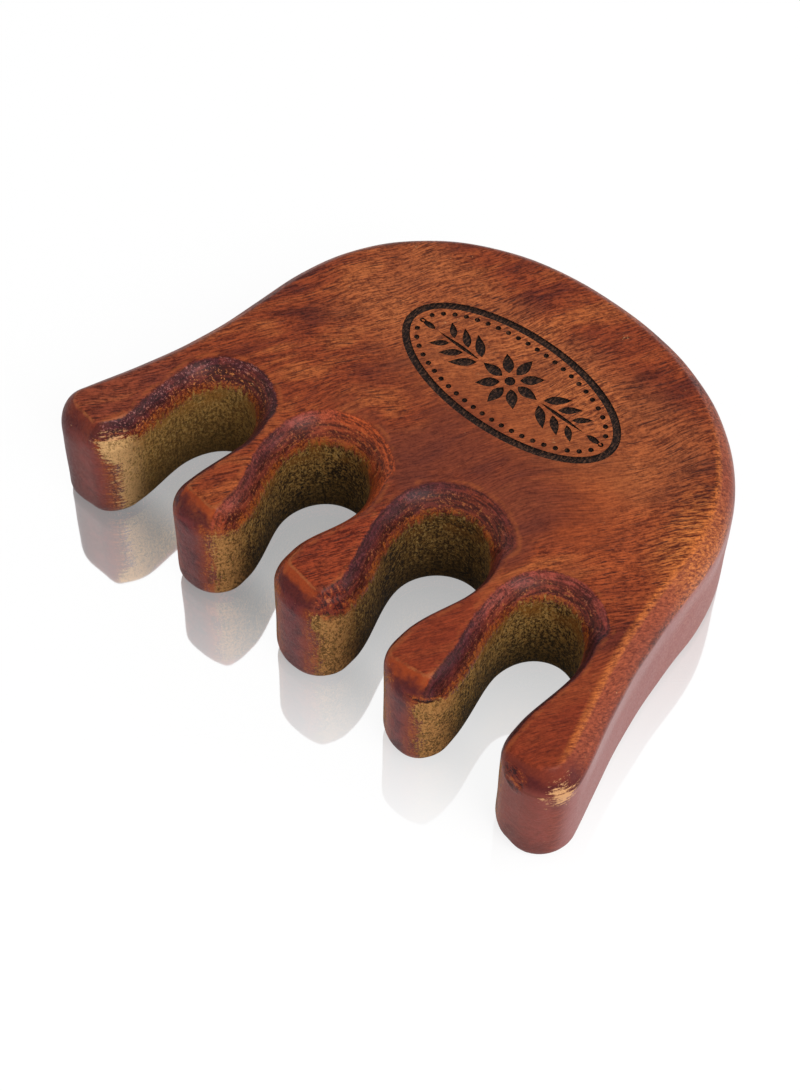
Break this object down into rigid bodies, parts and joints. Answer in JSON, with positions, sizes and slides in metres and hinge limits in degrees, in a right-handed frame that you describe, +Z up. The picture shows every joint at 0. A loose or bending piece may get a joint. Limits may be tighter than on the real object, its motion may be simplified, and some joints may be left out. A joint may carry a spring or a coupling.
{
  "type": "wide-tooth comb",
  "caption": "Thick carved wooden hair comb with waisted, widely spaced teeth, flared keyhole slots and a rounded back that fits the palm.",
  "frame": {"origin": "under the middle of the comb's bounding box, on the surface that it lies on", "axes": "+X across the teeth, +Y from the tooth tips to the back, +Z up out of the engraved face"},
  "size_m": [0.0978, 0.0742, 0.0213],
  "materials": {
    "stained_wood": "red-brown stain rubbed with wax, satin sheen"
  },
  "bodies": {
    "root": {"comb_body": "stained_wood"}
  },
  "joints": []
}
